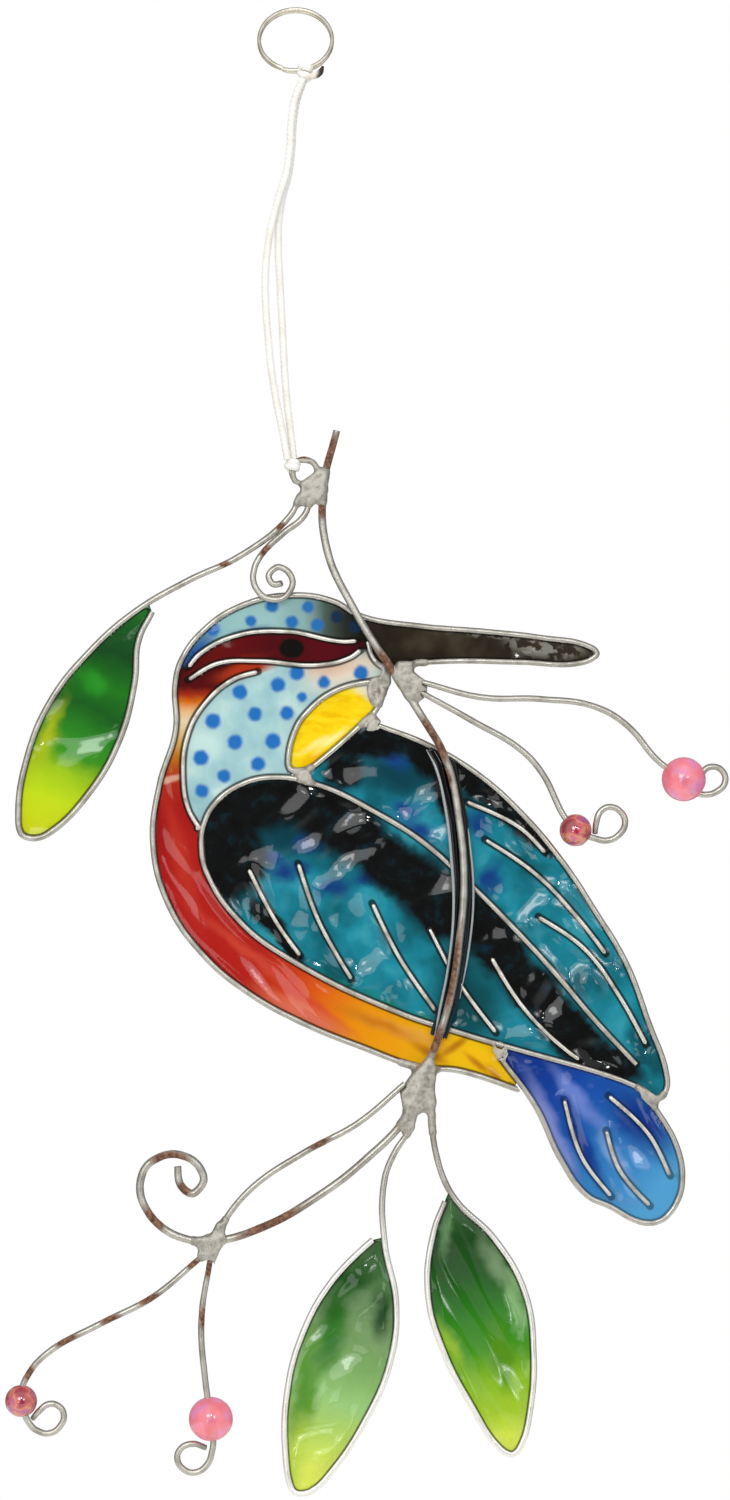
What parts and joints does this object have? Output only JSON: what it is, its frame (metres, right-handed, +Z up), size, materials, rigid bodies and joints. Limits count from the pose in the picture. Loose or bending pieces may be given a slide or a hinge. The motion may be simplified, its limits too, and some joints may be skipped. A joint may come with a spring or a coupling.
{
  "type": "hanging mobile",
  "caption": "Bird suncatcher of soldered wire and coloured resin film on a wire twig with leaves and beads, hung from a split ring by a doubled cord.",
  "frame": {"origin": "top inside of the split ring, where it bears on a nail or hook", "axes": "+Z up, -Y out of the bird's front, +X to the bird's beak"},
  "size_m": [0.181, 0.0133, 0.3724],
  "materials": {
    "nickel_ring": "nickel plated, slightly dull",
    "white_cord": "twisted polyester cord",
    "rusted_wire": "tinned steel with brown rust",
    "tinned_wire": "tinned steel wire",
    "solder": "cold solder, satin and pitted",
    "leaf_resin": "glossy translucent green resin",
    "body_resin": "glossy resin, red to amber, pale blue face",
    "yellow_resin": "glossy yellow resin",
    "wing_resin": "glossy teal and black resin",
    "tail_resin": "glossy blue resin",
    "dark_resin": "glossy dark resin",
    "pink_bead": "pearly translucent pink",
    "red_bead": "iridescent red"
  },
  "bodies": {
    "root": {"split_ring": "nickel_ring", "cord_left": "white_cord", "cord_right": "white_cord", "cord_knot_top": "white_cord", "cord_knot_bottom": "white_cord", "stem_wire": "rusted_wire", "hanging_eye": "tinned_wire", "curl_wire": "tinned_wire", "branch_wire": "tinned_wire", "upper_leaf_wire": "tinned_wire", "left_leaf_wire": "tinned_wire", "right_leaf_wire": "tinned_wire", "pink_upper_bead_wire": "tinned_wire", "red_upper_bead_wire": "tinned_wire", "red_lower_bead_wire": "tinned_wire", "pink_lower_bead_wire": "tinned_wire", "body_wire": "tinned_wire", "beak_base_wire": "tinned_wire", "cheek_wire": "tinned_wire", "yellow_patch_wire": "tinned_wire", "near_wing_wire": "tinned_wire", "far_wing_wire": "tinned_wire", "tail_wire": "tinned_wire", "eye_stripe_upper_wire": "tinned_wire", "eye_stripe_lower_wire": "tinned_wire", "near_wing_vein_1": "tinned_wire", "near_wing_vein_2": "tinned_wire", "near_wing_vein_3": "tinned_wire", "near_wing_vein_4": "tinned_wire", "near_wing_vein_5": "tinned_wire", "far_wing_vein_1": "tinned_wire", "far_wing_vein_2": "tinned_wire", "far_wing_vein_3": "tinned_wire", "tail_vein_1": "tinned_wire", "tail_vein_2": "tinned_wire", "tail_vein_3": "tinned_wire", "top_solder": "solder", "beak_solder": "solder", "yellow_corner_solder": "solder", "yellow_wing_solder": "solder", "yellow_tip_solder": "solder", "tail_root_solder": "solder", "tail_wing_solder": "solder", "bottom_solder": "solder", "lower_solder": "solder", "upper_leaf_film": "leaf_resin", "left_leaf_film": "leaf_resin", "right_leaf_film": "leaf_resin", "body_film": "body_resin", "yellow_patch_film": "yellow_resin", "wings_film": "wing_resin", "tail_film": "tail_resin", "stem_fillet": "dark_resin", "pink_upper_bead": "pink_bead", "pink_lower_bead": "pink_bead", "red_upper_bead": "red_bead", "red_lower_bead": "red_bead"}
  },
  "joints": []
}
